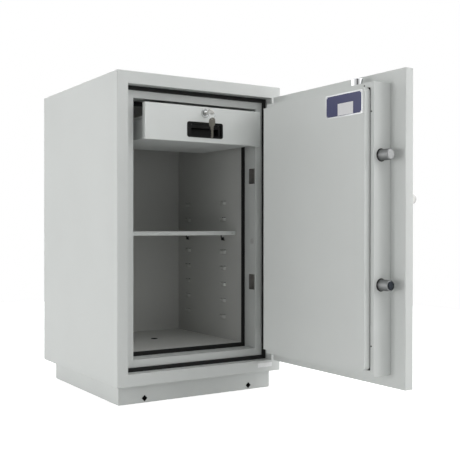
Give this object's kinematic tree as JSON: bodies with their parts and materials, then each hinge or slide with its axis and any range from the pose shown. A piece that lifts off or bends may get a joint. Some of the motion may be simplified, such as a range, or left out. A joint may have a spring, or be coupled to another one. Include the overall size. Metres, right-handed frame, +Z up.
{
  "type": "fireproof safe",
  "caption": "Upright fireproof safe on a plinth, its stepped door open on external hinges, with round bolts, double fire seals, a shelf on lanced lugs and a lockable pull-out drawer.",
  "frame": {"origin": "centre of the plinth's underside on the floor, midway across the body's width and depth", "axes": "+Z up; the front with the door faces -Y; +X is towards the hinge side"},
  "size_m": [0.5694, 0.9903, 0.88],
  "materials": {
    "paint": "satin",
    "black_steel": "satin",
    "filling": "matte",
    "board": "matte",
    "seal": "matte",
    "black_plastic": "satin",
    "satin_steel": "satin",
    "zinc_steel": "satin",
    "chrome": "polished"
  },
  "bodies": {
    "cabinet": {"outer_casing": "paint", "back_panel": "paint", "plinth": "paint", "front_frame": "paint", "body_insulation": "filling", "liner_left": "paint", "liner_right": "paint", "liner_top": "paint", "liner_floor": "paint", "liner_back": "paint", "seal_outer": "seal", "seal_inner": "seal", "shelf": "paint", "shelf_clip_front_left": "black_steel", "shelf_clip_rear_left": "black_steel", "shelf_clip_front_right": "black_steel", "shelf_clip_rear_right": "black_steel", "drawer_catch": "zinc_steel", "runner_fixed_left": "zinc_steel", "runner_fixed_right": "zinc_steel", "hinge_leaf_body_lower": "zinc_steel", "hinge_leaf_body_upper": "zinc_steel", "hinge_pin_lower": "zinc_steel", "hinge_pin_upper": "zinc_steel"},
    "door": {"door_skin": "paint", "door_filling": "filling", "bolt_box": "paint", "box_board": "board", "inner_cover": "paint", "inner_board": "board", "mounting_plate": "zinc_steel", "bolt_bush_upper": "black_plastic", "bolt_bush_lower": "black_plastic", "bolt_bush_top": "black_plastic", "lock_case": "zinc_steel", "escutcheon": "chrome", "handle_rosette": "chrome", "hinge_leaf_door_lower": "zinc_steel", "hinge_leaf_door_upper": "zinc_steel"},
    "handle": {"handle_grip": "satin_steel", "handle_spindle": "zinc_steel", "cam_disc": "zinc_steel"},
    "side_bolts": {"bolt_bar": "zinc_steel", "side_bolt_upper": "satin_steel", "side_bolt_lower": "satin_steel"},
    "top_bolt_set": {"top_rod": "zinc_steel", "top_bolt": "chrome"},
    "carriage": {"runner_middle_left": "zinc_steel", "runner_middle_right": "zinc_steel"},
    "drawer": {"drawer_front": "paint", "drawer_tray": "paint", "drawer_pull": "black_plastic", "runner_drawer_left": "zinc_steel", "runner_drawer_right": "zinc_steel"},
    "drawer_lock": {"lock_barrel": "chrome", "lock_cam": "zinc_steel", "drawer_key": "chrome"},
    "ring": {"key_ring": "chrome"},
    "spare": {"spare_key": "chrome"}
  },
  "joints": [
    {"name": "door_hinge", "type": "hinge", "parent": "cabinet", "child": "door", "pos_m": [0.2542, -0.2518, 0.466], "axis": [0, 0, 1], "range_deg": [-90.64, 29.36]},
    {"name": "handle_turn", "type": "hinge", "parent": "door", "child": "handle", "pos_m": [0.25614, -0.676, 0.538], "axis": [-0.9999, -0.0112, 0], "range_deg": [-0.1, 90.1]},
    {"name": "side_bolt_slide", "type": "slide", "parent": "door", "child": "side_bolts", "axis": [-0.0112, 0.9999, 0], "range_m": [0, 0.024]},
    {"name": "top_bolt_slide", "type": "slide", "parent": "door", "child": "top_bolt_set", "axis": [0, 0, -1], "range_m": [-0.0001, 0.0241]},
    {"name": "carriage_slide", "type": "slide", "parent": "cabinet", "child": "carriage", "axis": [0, -1, 0], "range_m": [-0.1551, 0.0503]},
    {"name": "drawer_slide", "type": "slide", "parent": "carriage", "child": "drawer", "axis": [0, -1, 0], "range_m": [0, 0.048]},
    {"name": "drawer_lock_turn", "type": "hinge", "parent": "drawer", "child": "drawer_lock", "pos_m": [0, -0.255, 0.7845], "axis": [0, 1, 0], "range_deg": [0, 90]},
    {"name": "ring_level", "type": "hinge", "parent": "drawer_lock", "child": "ring", "pos_m": [0, -0.288, 0.7845], "axis": [0, 1, 0], "range_deg": [-90.1, 0.1]},
    {"name": "spare_key_swing", "type": "hinge", "parent": "ring", "child": "spare", "pos_m": [0, -0.288, 0.7655], "axis": [1, 0, 0], "range_deg": [-10, 10]}
  ],
  "couplings": [
    {"joint": "handle_turn", "follows": "side_bolt_slide", "rad_per_m": 65.45},
    {"joint": "top_bolt_slide", "follows": "side_bolt_slide", "ratio": 1},
    {"joint": "carriage_slide", "follows": "door_hinge", "m_per_rad": 0.09798},
    {"joint": "ring_level", "follows": "drawer_lock_turn", "ratio": -1}
  ]
}
